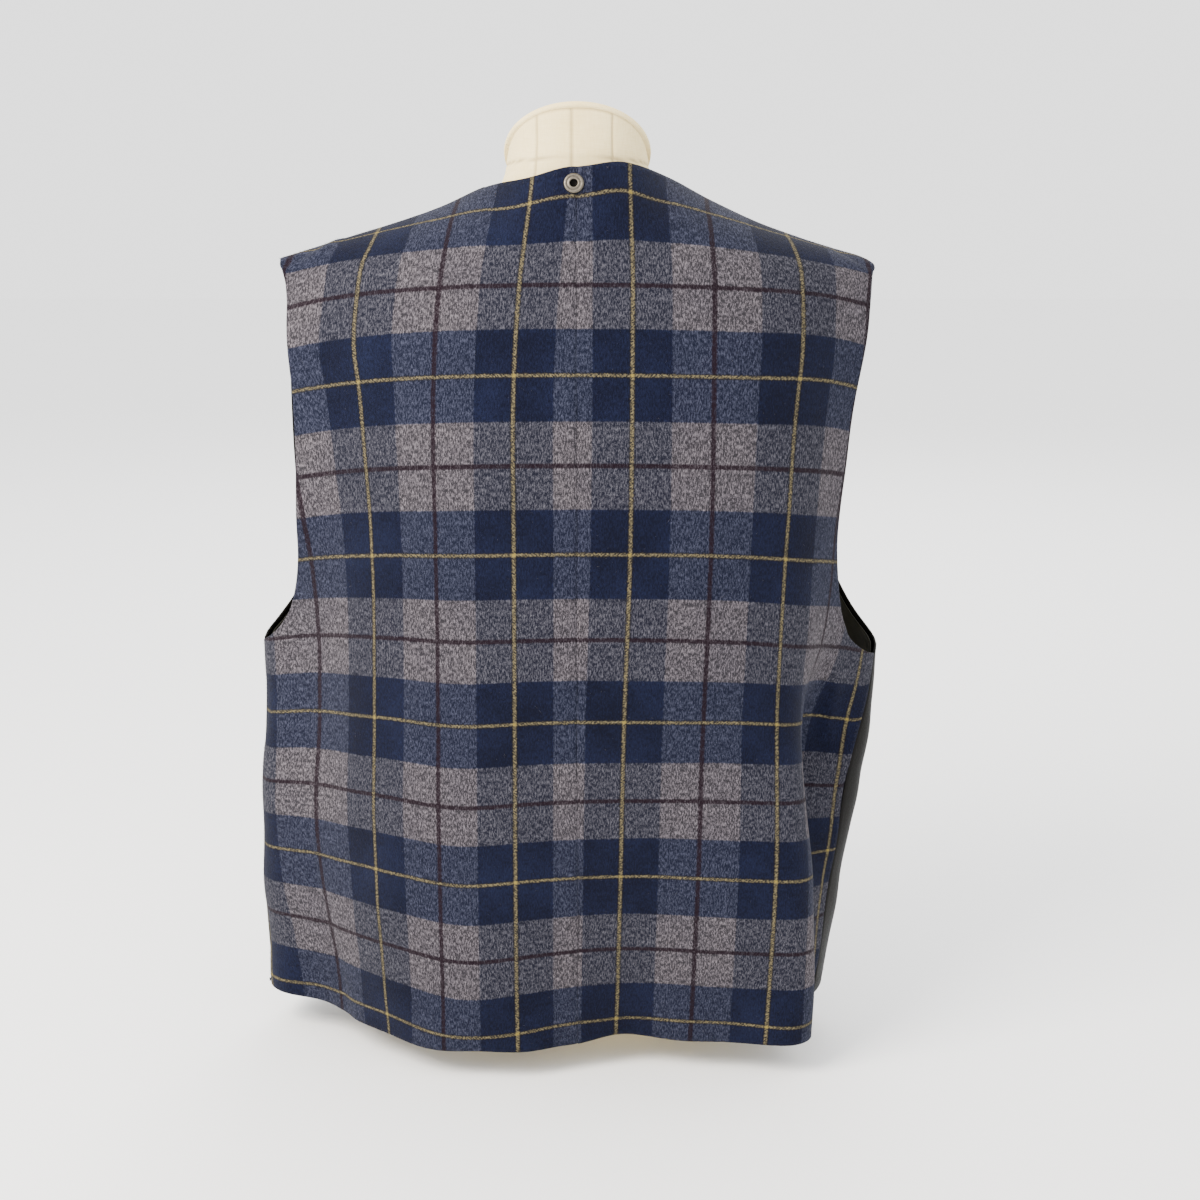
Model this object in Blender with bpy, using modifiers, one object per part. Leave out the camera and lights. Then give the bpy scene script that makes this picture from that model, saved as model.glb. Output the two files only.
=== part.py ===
# Sleeveless plaid wool vest, open at the front, hanging on a limbless linen dress form.
# Metres in the scene, millimetres in the tables. +Z up, the back of the vest faces -Y,
# the front faces +Y, and the wearer's left is at -X.
#
# The cloth is measured as a tailor measures it: "girth" runs along the cloth from the
# centre back seam round to the front edge, "down" runs along the grain from the centre
# back neck to the hem. At each level the cloth's heading in plan starts at the centre
# back seam and turns at the bends listed below. The heading, followed along the girth,
# gives the place of each point of the cloth.

import math

import bmesh
import bpy
import numpy as np
from mathutils import Vector

MM = 0.001
LEFT, RIGHT = -1, 1

# ---- driving sizes, mm ----
NECK_HEIGHT = 712.0       # centre back neck of the vest above the table
LENGTH = 695.0            # centre back neck to hem
FRONT_GIRTH = 250.0       # side seam to front edge
WOOL = 2.2                # plaid wool wall
LEATHER = 1.6             # leather wall
LINING = 1.0              # lining wall
SHARP_ANGLE = 50.0        # edges turn sharper than this are drawn sharp
SEAM_GAP = 0.3
CORNER_GAP = 1.0          # more at the underarm corner, where the walls turn towards each other
LAYER_GAP = 0.5           # between a front and its lining

YOKE_DOWN = 90.0          # above this level the back rises to its neck and shoulder edge
CHEST_DOWN = 300.0        # above this level a front rises to the shoulder seam
CHEST_ROUND = 0.8         # how fully a front rounds over the shoulder
HEM_START = 500.0         # from this level down the rows ease onto the hem line
HEM_OVER = 200.0
DROP_GIRTH = 285.0        # the side's drop is whole here, and most of it is left behind
DROP_POWER = 2.5          # over the length below as the cloth comes round to the front
DROP_LEFT_BEHIND = 0.7
DROP_FRONT = (330.0, 200.0)

# ---- the centre back line and how far the sides hang below it, a row for each level ----
# "twist" is the heading at the centre back seam, in degrees, away from the back view
# on the right side and towards it on the left.
LEVEL_COLUMNS = ("down", "depth", "twist", "left_drop", "right_drop")
LEVELS = (
    (-20.0, 56.0, 0.0, 40.0, 40.0),
    (24.0, 68.0, 0.0, 36.0, 36.0),
    (90.0, 87.0, 0.0, 34.0, 34.0),
    (156.0, 103.0, 0.0, 34.0, 34.0),
    (222.0, 113.0, 0.0, 34.0, 34.0),
    (288.0, 114.0, 0.0, 32.0, 36.0),
    (354.0, 110.0, 0.0, 28.0, 40.0),
    (420.0, 104.0, 1.0, 24.0, 30.0),
    (486.0, 97.0, 4.0, 16.0, 21.0),
    (552.0, 88.0, 7.0, 9.0, 11.0),
    (618.0, 78.0, 12.0, 3.0, 4.0),
    (700.0, 67.0, 19.0, 0.0, 0.0),
)

# ---- bends of the cloth in plan: where on the girth, how far that place drifts by the hem,
# over what length, and the turn in degrees at each named level. A positive turn leads
# round to the front.
BEND_LEVELS = (60.0, 222.0, 350.0, 430.0, 560.0, 696.0)
BEND_COLUMNS = ("name", "at", "drift", "over", "yoke", "blades", "underarm", "waist", "seat", "hem")
BENDS = {
    LEFT: (
        ("back round", 90.0, 0.0, 180.0, 30.0, 28.0, 30.0, 30.0, 36.0, 54.0),
        ("soft ridge", 175.0, 0.0, 70.0, 0.0, 2.0, 16.0, 20.0, 14.0, 14.0),
        ("soft hollow", 235.0, 0.0, 50.0, 0.0, 0.0, -12.0, -18.0, -12.0, -30.0),
        ("side", 301.0, 0.0, 74.0, 98.0, 98.0, 96.0, 100.0, 94.0, 102.0),
        ("chest", 455.0, 0.0, 180.0, 56.0, 56.0, 58.0, 56.0, 56.0, 58.0),
    ),
    RIGHT: (
        ("valley", 45.0, 0.0, 90.0, 0.0, 0.0, 0.0, -4.0, -18.0, -34.0),
        ("back round", 110.0, 0.0, 220.0, 30.0, 32.0, 28.0, 28.0, 16.0, 8.0),
        ("fold edge", 176.0, 14.0, 60.0, 0.0, 18.0, 38.0, 78.0, 106.0, 122.0),
        ("fold hollow", 231.0, 8.0, 44.0, 0.0, -4.0, -18.0, -84.0, -68.0, -54.0),
        ("side", 312.0, 0.0, 60.0, 94.0, 84.0, 82.0, 108.0, 94.0, 74.0),
        ("chest", 455.0, 0.0, 180.0, 56.0, 56.0, 58.0, 58.0, 58.0, 58.0),
    ),
}

# ---- the back's neck and shoulder edge, as it lies on the form; rise is the slope of the
# cloth at the edge, in degrees above level, as it goes forward over the shoulder.
TOP_COLUMNS = ("name", "girth", "down", "out", "forward", "left", "right", "rise")
TOP_EDGE = (
    ("centre back", 0.0, 2.0, 0.0, -60.0, -2.0, -2.0, 72.0),
    ("nape", 38.0, 2.0, 36.0, -50.0, -10.0, 1.0, 62.0),
    ("neck point", 74.0, -8.0, 70.0, -12.0, -17.0, -11.0, 22.0),
    ("mid shoulder", 140.0, 2.0, 136.0, 8.0, -40.0, -42.0, 4.0),
    ("shoulder tip", 232.0, 22.0, 228.0, 12.0, -71.0, -73.0, 0.0),
)

# ---- armhole edges, girth at each level down; the hem ----
ARMHOLE_COLUMNS = ("down", "left", "right", "front")
ARMHOLE = (
    (22.0, 232.0, 232.0, 394.0),
    (60.0, 232.0, 232.0, 394.0),
    (100.0, 231.0, 231.0, 394.0),
    (160.0, 230.0, 229.0, 394.0),
    (240.0, 234.0, 228.0, 394.0),
    (290.0, 240.0, 229.0, 394.0),
    (312.0, 247.0, 234.0, 380.0),
    (332.0, 260.0, 247.0, 356.0),
    (346.0, 278.0, 268.0, 330.0),
    (354.0, 300.0, 300.0, 300.0),
)
SIDE_SEAM_COLUMNS = ("down", "left", "right")
SIDE_SEAM = ((354.0, 302.0, 298.0), (LENGTH, 306.0, 288.0))
HEM_COLUMNS = ("girth", "down")
HEM = ((0.0, LENGTH), (200.0, LENGTH), (300.0, LENGTH - 10.0), (550.0, LENGTH - 6.0))


def smoothStep(value):
    # 0 before 0, 1 after 1, and an even ease between
    value = np.clip(value, 0.0, 1.0)
    return value * value * (3.0 - 2.0 * value)


def smoothTable(at, knots, values):
    # a cubic through the knots, whose slopes are the means of their neighbours' slopes
    knots, values = np.asarray(knots, float), np.asarray(values, float)
    slopes = np.gradient(values, knots)
    at = np.clip(at, knots[0], knots[-1])
    step = np.clip(np.searchsorted(knots, at, side="right") - 1, 0, len(knots) - 2)
    length = knots[step + 1] - knots[step]
    share = (at - knots[step]) / length
    return (values[step] * (1 + 2 * share) * (1 - share) ** 2
            + slopes[step] * length * share * (1 - share) ** 2
            + values[step + 1] * share ** 2 * (3 - 2 * share)
            + slopes[step + 1] * length * share ** 2 * (share - 1))


def column(table, columns, name):
    # one named column of a table
    place = columns.index(name)
    return [row[place] for row in table]


def levelValue(down, name):
    return smoothTable(down, column(LEVELS, LEVEL_COLUMNS, "down"), column(LEVELS, LEVEL_COLUMNS, name))


def heading(side, girth, down):
    # the cloth's direction in plan: the twist at the centre back, plus each bend passed
    turn = side * levelValue(down, "twist")
    lowered = smoothStep((down - BEND_LEVELS[2]) / (BEND_LEVELS[-1] - BEND_LEVELS[2]))
    for name, at, drift, over, *turns in BENDS[side]:
        passed = smoothStep((girth - at - drift * lowered) / over + 0.5)
        turn = turn + smoothTable(down, BEND_LEVELS, turns) * passed
    return np.radians(turn)


FALL_DOWN = np.linspace(LEVELS[0][0], LEVELS[-1][0], 600)


def fallTable():
    # height lost along the centre back line, whose length along the cloth is "down"
    depth = levelValue(FALL_DOWN, "depth")
    slope = np.gradient(depth, FALL_DOWN)
    share = np.sqrt(1.0 - np.clip(slope, -0.95, 0.95) ** 2)
    fall = np.concatenate([[0.0], np.cumsum((share[1:] + share[:-1]) / 2 * np.diff(FALL_DOWN))])
    return fall - np.interp(0.0, FALL_DOWN, fall)


FALL = fallTable()
HEADING_STEPS = 96


def ringPoint(side, girth, down):
    # follows the heading from the centre back seam to the girth; mm, neck height is 0
    girth, down = np.broadcast_arrays(np.asarray(girth, float), np.asarray(down, float))
    share = (np.arange(HEADING_STEPS) + 0.5) / HEADING_STEPS
    turn = heading(side, girth[..., None] * share, down[..., None])
    out = girth * np.cos(turn).mean(-1)
    forward = girth * np.sin(turn).mean(-1) - levelValue(down, "depth")
    round_ = smoothStep((girth - DROP_FRONT[0]) / DROP_FRONT[1])
    sideShare = np.clip(girth / DROP_GIRTH, 0.0, 1.0) ** DROP_POWER * (1.0 - DROP_LEFT_BEHIND * round_)
    sideDrop = levelValue(down, "left_drop" if side == LEFT else "right_drop")
    height = -np.interp(down, FALL_DOWN, FALL) - sideDrop * sideShare
    return np.stack([side * out, forward, height], -1)


def riseBetween(foot, footSlope, top, topSlope, share):
    # a cubic from the foot to the top with the given slopes at both ends
    share = share[..., None]
    return (foot * (1 + 2 * share) * (1 - share) ** 2
            + footSlope * share * (1 - share) ** 2
            + top * share ** 2 * (3 - 2 * share)
            + topSlope * share ** 2 * (share - 1))


def topValue(girth, name):
    # the nape's row is mirrored over the centre back, so that the edge runs smoothly across it
    knots, values = column(TOP_EDGE, TOP_COLUMNS, "girth"), column(TOP_EDGE, TOP_COLUMNS, name)
    mirrored = -values[1] if name == "out" else values[1]
    return smoothTable(girth, [-knots[1]] + knots, [mirrored] + values)


def topPoint(side, girth):
    height = topValue(girth, "left" if side == LEFT else "right")
    return np.stack([side * topValue(girth, "out"), topValue(girth, "forward"), height], -1)


def topSlope(girth):
    rise = np.radians(topValue(girth, "rise"))
    return np.stack([np.zeros_like(rise), np.cos(rise), np.sin(rise)], -1)


STILL_BACK = 0.55         # share of the columns that keep their girth under the armhole
STILL_FRONT = 0.56        # share of the columns that follow the armhole


def backPoint(side, girth, down):
    # the ring below the yoke level; above it a cubic up to the neck and shoulder edge
    girth, down = np.broadcast_arrays(np.asarray(girth, float), np.asarray(down, float))
    ring = ringPoint(side, girth, np.maximum(down, YOKE_DOWN))
    ringSlope = ringPoint(side, girth, YOKE_DOWN) - ringPoint(side, girth, YOKE_DOWN + 1.0)
    rise = YOKE_DOWN - topValue(girth, "down")
    share = np.clip((YOKE_DOWN - down) / rise, 0.0, 1.2)
    yoke = riseBetween(ringPoint(side, girth, YOKE_DOWN), ringSlope * rise[..., None],
                       topPoint(side, girth), topSlope(girth) * rise[..., None], share)
    return np.where((down < YOKE_DOWN)[..., None], yoke, ring)


def seamGirth(side, down):
    # girth at the side seam
    name = "left" if side == LEFT else "right"
    return smoothTable(down, column(SIDE_SEAM, SIDE_SEAM_COLUMNS, "down"), column(SIDE_SEAM, SIDE_SEAM_COLUMNS, name))


def edgeGirth(side, piece, down):
    # girth at the armhole edge of the back or the front, and at the side seam below it
    knots = column(ARMHOLE, ARMHOLE_COLUMNS, "down")
    name = "front" if piece == "front" else ("left" if side == LEFT else "right")
    edge = smoothTable(down, knots, column(ARMHOLE, ARMHOLE_COLUMNS, name))
    ease = smoothStep((down - knots[-3]) / (knots[-1] - knots[-3]))
    edge = edge + ease * (seamGirth(side, down) - ARMHOLE[-1][1])
    gap = SEAM_GAP + CORNER_GAP * np.clip(1.0 - np.abs(down - knots[-1]) / 20.0, 0.0, 1.0)
    return edge + (gap / 2 if piece == "front" else -gap / 2)


def backGirth(side, across, down):
    # across runs 0 at the centre back to 1 at the armhole or side seam; the half next to
    # the centre keeps its girth at all levels, and the armhole's curve takes up the rest
    still = STILL_BACK * ARMHOLE[-1][1]
    edge = edgeGirth(side, "back", down)
    outer = still + (edge - still) * (across - STILL_BACK) / (1.0 - STILL_BACK)
    inner = SEAM_GAP / 2 + (still - SEAM_GAP / 2) * across / STILL_BACK
    return np.where(across < STILL_BACK, inner, outer)


def frontGirth(side, across, down):
    # across runs 0 at the armhole or side seam to 1 at the front edge, whose half keeps its girth
    edge, seam = edgeGirth(side, "front", down), seamGirth(side, down)
    inner = seam + FRONT_GIRTH * across
    outer = edge + (seam + FRONT_GIRTH * STILL_FRONT - edge) * across / STILL_FRONT
    return np.where(across < STILL_FRONT, outer, inner)


def frontPoint(side, across, down):
    # the ring below the chest level; above it a cubic climbs over the shoulder to the seam
    across, down = np.broadcast_arrays(np.asarray(across, float), np.asarray(down, float))
    ring = ringPoint(side, frontGirth(side, across, down), np.maximum(down, CHEST_DOWN))
    girth = frontGirth(side, across, CHEST_DOWN)
    foot = ringPoint(side, girth, CHEST_DOWN)
    footSlope = foot - ringPoint(side, girth, CHEST_DOWN + 1.0)
    neck, tip = TOP_EDGE[2][1], TOP_EDGE[-1][1]
    seam = tip + (neck - tip) * across
    length = CHEST_DOWN - topValue(seam, "down")
    share = np.clip((CHEST_DOWN - down) / length, 0.0, 1.0)
    climb = riseBetween(foot, footSlope * length[..., None],
                        topPoint(side, seam), -topSlope(seam) * length[..., None] * CHEST_ROUND, share)
    return np.where((down < CHEST_DOWN)[..., None], climb, ring)


def gridMesh(name, points):
    # one sheet of quads through a grid of points
    rows, columns = points.shape[:2]
    mesh = bpy.data.meshes.new(name)
    first = (np.arange(rows - 1)[:, None] * columns + np.arange(columns - 1)).ravel()
    faces = np.stack([first, first + 1, first + columns + 1, first + columns], -1)
    mesh.from_pydata((points.reshape(-1, 3) * MM).tolist(), [], faces.tolist())
    return mesh


def useMaterial(item, name, colour, roughness, metallic=0.0):
    material = bpy.data.materials.new(name)
    material.use_nodes = True
    shader = material.node_tree.nodes["Principled BSDF"]
    shader.inputs["Base Color"].default_value = (*colour, 1.0)
    shader.inputs["Roughness"].default_value = roughness
    shader.inputs["Metallic"].default_value = metallic
    item.data.materials.append(material)


def placeObject(name, mesh, collection):
    item = bpy.data.objects.new(name, mesh)
    collection.objects.link(item)
    mesh.shade_smooth()
    mesh.set_sharp_from_angle(angle=math.radians(SHARP_ANGLE))
    return item


def clothSheet(name, points, wall, collection, inward):
    # an open sheet given its wall by Solidify, all of it towards the form
    mesh = gridMesh(name, points)
    sheet = bmesh.new()
    sheet.from_mesh(mesh)
    if inward:
        bmesh.ops.reverse_faces(sheet, faces=sheet.faces)
    sheet.to_mesh(mesh)
    sheet.free()
    item = placeObject(name, mesh, collection)
    solidify = item.modifiers.new("wall", "SOLIDIFY")
    solidify.thickness = wall * MM
    solidify.offset = -1.0
    return item


def hemDown(girth):
    return smoothTable(girth, column(HEM, HEM_COLUMNS, "girth"), column(HEM, HEM_COLUMNS, "down"))


# bands of rows (start, end, steps); the last two are shared, so that the side seams stay parallel
SIDE_ROWS = ((290.0, 330.0, 2), (330.0, 346.0, 2), (346.0, 354.0, 3), (354.0, LENGTH, 11))
BACK_ROWS = ((22.0, 24.0, 1), (24.0, 90.0, 4), (90.0, 290.0, 7), *SIDE_ROWS)
BACK_COLUMNS = 20
SEAM_ROOM = 0.008         # share of the width


def levelRows(bands):
    # levels for the rows of a sheet: each band split evenly, its end left to the next
    rows = [np.linspace(start, end, count, endpoint=False) for start, end, count in bands]
    return np.concatenate(rows + [[bands[-1][1]]])


def seamedColumns(count):
    # even columns, with one more close to each edge so that the walls meet square at a seam
    even = np.linspace(0.0, 1.0, count)
    return np.concatenate([[0.0, SEAM_ROOM], even[1:-1], [1.0 - SEAM_ROOM, 1.0]])


def backGrid(side):
    # the rows start along the neck and shoulder edge and ease into level rows
    levels = levelRows(BACK_ROWS)
    across = seamedColumns(BACK_COLUMNS)
    girth = backGirth(side, across, levels[:, None])
    top = topValue(girth[0], "down") + SEAM_GAP
    high = np.clip((YOKE_DOWN - levels) / (YOKE_DOWN - levels[0]), 0.0, 1.0)[:, None]
    down = levels[:, None] + high * (top - levels[0])
    low = smoothStep((levels - HEM_START) / HEM_OVER)[:, None]
    down = down + low * (hemDown(girth) - levels[-1])
    return backPoint(side, girth, down)


FRONT_ROWS = ((0.0, 3.0, 1), (3.0, 290.0, 10), *SIDE_ROWS)
FRONT_COLUMNS = 13
CORNER_SLACK = 2.0        # how much further in a lining hangs at the underarm corner
SLACK_REACH = 110.0
LINING_CROP = 0.5         # share of a cell that a lining ends short of its front


def frontGrid(side, lift=0.0):
    # with a lift, the lining's grid: moved along the cloth's own normals, slack at the underarm
    levels = levelRows(FRONT_ROWS)
    across = seamedColumns(FRONT_COLUMNS)
    neck, tip = TOP_EDGE[2][1], TOP_EDGE[-1][1]
    top = topValue(tip + (neck - tip) * across, "down")
    high = np.clip((CHEST_DOWN - levels) / CHEST_DOWN, 0.0, 1.0)[:, None]
    down = levels[:, None] + high * (top + 4 * SEAM_GAP)
    low = smoothStep((levels - HEM_START) / HEM_OVER)[:, None]
    down = down + low * (hemDown(seamGirth(side, LENGTH) + FRONT_GIRTH * across) - levels[-1])
    points = frontPoint(side, across, down)
    if lift == 0.0:
        return points
    inner = np.minimum(across, 1.0 - SEAM_ROOM)
    along = frontPoint(side, inner + SEAM_ROOM, down) - frontPoint(side, inner, down)
    below = frontPoint(side, across, down + 1.0) - points
    normal = np.cross(below, along) * side
    near = np.clip(1.0 - np.abs(down - ARMHOLE[-1][0]) / SLACK_REACH, 0.0, 1.0) * np.clip(1.0 - 2.0 * across, 0.0, 1.0)
    lift = (lift - CORNER_SLACK * near)[..., None]
    return points + lift * normal / np.linalg.norm(normal, axis=-1, keepdims=True)


def croppedGrid(points):
    # drops the seam's own row and columns, and draws the new edges a share of a cell in
    inner = points[1:, 1:-1].copy()
    inner[:, 0] += LINING_CROP * (inner[:, 1] - inner[:, 0])
    inner[:, -1] += LINING_CROP * (inner[:, -2] - inner[:, -1])
    inner[0] += LINING_CROP * (inner[1] - inner[0])
    inner[-1] += LINING_CROP * (inner[-2] - inner[-1])
    return inner


# ---- the dress form: a row for each level of the torso, height from the vest's neck ----
FORM_COLUMNS = ("height", "half_width", "back", "front")
FORM = (
    (60.0, 54.0, -51.0, 53.0),
    (0.0, 54.0, -50.0, 54.0),
    (-10.0, 56.0, -51.0, 54.0),
    (-23.5, 66.0, -52.0, 53.0),
    (-35.5, 92.0, -54.0, 52.0),
    (-51.3, 132.0, -60.5, 52.0),
    (-68.0, 158.0, -65.0, 55.0),
    (-84.0, 172.0, -73.0, 64.0),
    (-110.0, 182.0, -86.0, 79.0),
    (-150.0, 179.0, -98.0, 95.0),
    (-215.0, 173.0, -110.0, 108.0),
    (-290.0, 163.0, -111.3, 114.0),
    (-350.0, 150.0, -102.0, 112.0),
    (-430.0, 128.0, -86.0, 98.0),
    (-500.0, 132.0, -78.0, 102.0),
    (-600.0, 150.0, -58.0, 110.0),
    (-660.0, 152.0, -42.0, 114.0),
    (-NECK_HEIGHT, 150.0, -28.0, 116.0),
)
FORM_SQUARENESS = 2.2     # exponent of the sections: 2 is an ellipse
FORM_AROUND = 32
CAP_TILT = 34.0           # degrees that the neck cap slopes down to the front
CAP_HEIGHT = 6.0          # of its centre, above the vest's neck
CAP_THICK = 4.0
CAP_OVERHANG = 1.0

# ---- press stud at the centre back neck ----
STUD_DOWN = 15.0
STUD_ASIDE = -2.0
STUD_PROFILE_COLUMNS = ("radius", "height")
STUD_PROFILE = (
    (2.6, 0.7), (2.7, 2.0), (3.2, 2.5), (4.2, 2.7), (6.0, 2.6), (7.0, 2.2), (7.5, 1.4), (7.5, 0.6), (7.1, 0.0),
)
STUD_STEPS = 32
STUD_CLEAR = 0.5


def formSection(height):
    # one level ring of the torso, a squared ellipse
    knots = column(FORM, FORM_COLUMNS, "height")[::-1]
    half, back, front = [
        smoothTable(height, knots, column(FORM, FORM_COLUMNS, name)[::-1]) for name in FORM_COLUMNS[1:]]
    angle = np.linspace(0.0, 2.0 * math.pi, FORM_AROUND, endpoint=False)
    round_ = 2.0 / FORM_SQUARENESS
    out = half * np.sign(np.cos(angle)) * np.abs(np.cos(angle)) ** round_
    ahead = np.sign(np.sin(angle)) * np.abs(np.sin(angle)) ** round_
    forward = (front + back) / 2 + (front - back) / 2 * ahead
    return np.stack([out, forward, np.full_like(out, height)], -1)


def formTorso(collection):
    # rings joined level to level, closed below, cut on a slope at the neck
    body = bmesh.new()
    sections = [raised(formSection(height)) for height in column(FORM, FORM_COLUMNS, "height")]
    rings = [[body.verts.new(point * MM) for point in section] for section in sections]
    for upper, lower in zip(rings, rings[1:]):
        for step in range(FORM_AROUND):
            following = (step + 1) % FORM_AROUND
            body.faces.new((upper[step], lower[step], lower[following], upper[following]))
    body.faces.new(rings[0])
    body.faces.new(rings[-1][::-1])
    tilt = math.radians(CAP_TILT)
    centre = (0.0, 0.0, (NECK_HEIGHT + CAP_HEIGHT) * MM)
    cut = bmesh.ops.bisect_plane(body, geom=body.verts[:] + body.edges[:] + body.faces[:], dist=1e-6,
                                 plane_co=centre, plane_no=(0.0, math.sin(tilt), math.cos(tilt)), clear_outer=True)
    bmesh.ops.edgenet_fill(body, edges=[edge for edge in cut["geom_cut"] if isinstance(edge, bmesh.types.BMEdge)])
    bmesh.ops.recalc_face_normals(body, faces=body.faces)
    mesh = bpy.data.meshes.new("form_torso")
    body.to_mesh(mesh)
    body.free()
    return placeObject("form_torso", mesh, collection)


def formNeckCap(collection):
    # an oval disc lying on the sloping cut
    tilt = math.radians(CAP_TILT)
    half = FORM[1][1] + CAP_OVERHANG
    bpy.ops.mesh.primitive_cylinder_add(vertices=FORM_AROUND, radius=half * MM, depth=CAP_THICK * MM)
    cap = bpy.context.object
    cap.name = cap.data.name = "form_neck_cap"
    lift = CAP_THICK / 2 + SEAM_GAP
    centre = (FORM[1][2] + FORM[1][3]) / 2
    cap.scale = (1.0, (FORM[1][3] - FORM[1][2] + 2 * CAP_OVERHANG) / (2 * half) / math.cos(tilt), 1.0)
    cap.rotation_euler = (-tilt, 0.0, 0.0)
    cap.location = (0.0, (centre + lift * math.sin(tilt)) * MM,
                    (NECK_HEIGHT + CAP_HEIGHT - centre * math.tan(tilt) + lift * math.cos(tilt)) * MM)
    bpy.ops.object.transform_apply(location=False, rotation=False, scale=True)
    for owner in list(cap.users_collection):
        owner.objects.unlink(cap)
    collection.objects.link(cap)
    cap.data.shade_smooth()
    cap.data.set_sharp_from_angle(angle=math.radians(SHARP_ANGLE))
    return cap


def pressStud(collection):
    # a ring with a blind hole, turned about its axis and set on the back's slope
    mesh = bpy.data.meshes.new("press_stud")
    profile = [(0.0, STUD_PROFILE[0][1])] + list(STUD_PROFILE) + [(0.0, 0.0)]
    places = [(radius * MM, 0.0, height * MM) for radius, height in profile]
    mesh.from_pydata(places, [(step, step + 1) for step in range(len(places) - 1)], [])
    stud = placeObject("press_stud", mesh, collection)
    turned = stud.modifiers.new("turned", "SCREW")
    turned.steps = turned.render_steps = STUD_STEPS
    turned.use_merge_vertices = True
    turned.merge_threshold = 0.00001
    turned.use_normal_calculate = True
    below, above = backPoint(RIGHT, 0.0, STUD_DOWN + 4.0), backPoint(RIGHT, 0.0, STUD_DOWN - 4.0)
    slope = math.atan2(above[1] - below[1], above[2] - below[2])
    seat = raised(backPoint(RIGHT, 0.0, STUD_DOWN))
    away = (seat[1] - STUD_CLEAR * math.cos(slope), seat[2] + STUD_CLEAR * math.sin(slope))
    stud.location = Vector((STUD_ASIDE, *away)) * MM
    stud.rotation_euler = (math.pi / 2 - slope, 0.0, 0.0)
    return stud


def clearScene():
    for item in list(bpy.data.objects):
        bpy.data.objects.remove(item, do_unlink=True)


def raised(points):
    return points + np.array([0.0, 0.0, NECK_HEIGHT])


def standOverOrigin(collection):
    # moves every node so that the middle of the whole's box stands over the origin
    bpy.context.view_layer.update()
    graph = bpy.context.evaluated_depsgraph_get()
    finished = [item.evaluated_get(graph) for item in collection.objects]
    corners = np.array([item.matrix_world @ Vector(corner) for item in finished for corner in item.bound_box])
    middle = (corners.min(0) + corners.max(0)) / 2
    for item in collection.objects:
        item.location.x -= middle[0]
        item.location.y -= middle[1]
    print("moved by", -middle[0], -middle[1], "size", corners.max(0) - corners.min(0))


def main():
    clearScene()
    collection = bpy.data.collections.new("wool vest on a dress form")
    bpy.context.scene.collection.children.link(collection)
    for side, word in ((LEFT, "left"), (RIGHT, "right")):
        back = clothSheet("back_" + word, raised(backGrid(side)), WOOL, collection, side == RIGHT)
        useMaterial(back, "plaid wool " + word, (0.06, 0.07, 0.12), 0.95)
        front = raised(frontGrid(side))
        leather = clothSheet("front_" + word, front, LEATHER, collection, side == RIGHT)
        useMaterial(leather, "black leather " + word, (0.012, 0.011, 0.011), 0.5)
        inside = croppedGrid(raised(frontGrid(side, -LEATHER - LAYER_GAP)))
        lining = clothSheet("lining_front_" + word, inside, LINING, collection, side == RIGHT)
        useMaterial(lining, "lining " + word, (0.02, 0.022, 0.016), 0.45)
    useMaterial(pressStud(collection), "old nickel", (0.30, 0.28, 0.25), 0.35, 1.0)
    useMaterial(formTorso(collection), "linen", (0.80, 0.74, 0.62), 0.9)
    useMaterial(formNeckCap(collection), "linen cap", (0.80, 0.74, 0.62), 0.9)
    standOverOrigin(collection)


main()
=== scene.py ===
import math

import bpy
import numpy as np
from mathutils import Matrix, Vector


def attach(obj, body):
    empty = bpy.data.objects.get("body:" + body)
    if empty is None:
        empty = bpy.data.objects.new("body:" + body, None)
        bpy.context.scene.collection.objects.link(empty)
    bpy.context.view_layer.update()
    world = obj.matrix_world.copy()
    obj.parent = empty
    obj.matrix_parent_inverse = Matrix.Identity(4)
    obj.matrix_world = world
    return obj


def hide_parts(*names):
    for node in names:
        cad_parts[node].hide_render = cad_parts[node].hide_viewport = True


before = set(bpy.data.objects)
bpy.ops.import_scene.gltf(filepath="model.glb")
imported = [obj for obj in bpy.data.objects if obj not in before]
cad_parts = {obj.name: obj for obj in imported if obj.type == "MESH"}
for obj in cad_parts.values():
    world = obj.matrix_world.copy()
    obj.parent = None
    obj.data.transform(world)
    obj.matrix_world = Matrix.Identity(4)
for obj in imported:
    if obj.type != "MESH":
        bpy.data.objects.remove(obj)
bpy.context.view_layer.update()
mm = 0.001
left, right = -1, 1
moved = np.array([10.162, -29.437, 712.0])  # from the centre back neck to the frame's origin, mm
seeds = {"nap": 5067, "back": 11, "front": 23}
chance = np.random.default_rng(seeds["nap"])


# curves and tables

def smoothStep(value):  # 3v^2 - 2v^3 on 0 to 1
    value = np.clip(value, 0.0, 1.0)
    return value * value * (3.0 - 2.0 * value)


def bell(value):  # exp(-v^2)
    return np.exp(-value * value)


def smoothTable(at, knots, values):  # cubic Hermite, slopes from the neighbours
    knots, values = np.asarray(knots, float), np.asarray(values, float)
    slopes = np.gradient(values, knots)
    at = np.clip(at, knots[0], knots[-1])
    step = np.clip(np.searchsorted(knots, at, side="right") - 1, 0, len(knots) - 2)
    length = knots[step + 1] - knots[step]
    share = (at - knots[step]) / length
    return (values[step] * (1 + 2 * share) * (1 - share) ** 2
            + slopes[step] * length * share * (1 - share) ** 2
            + values[step + 1] * share ** 2 * (3 - 2 * share)
            + slopes[step + 1] * length * share ** 2 * (share - 1))


def unit(vectors):  # each vector over its own length
    return vectors / np.maximum(np.linalg.norm(vectors, axis=-1, keepdims=True), 1e-12)


def gridNormals(points):  # cross product of the two grid directions
    return unit(np.cross(np.gradient(points, axis=0), np.gradient(points, axis=1)))


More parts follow.
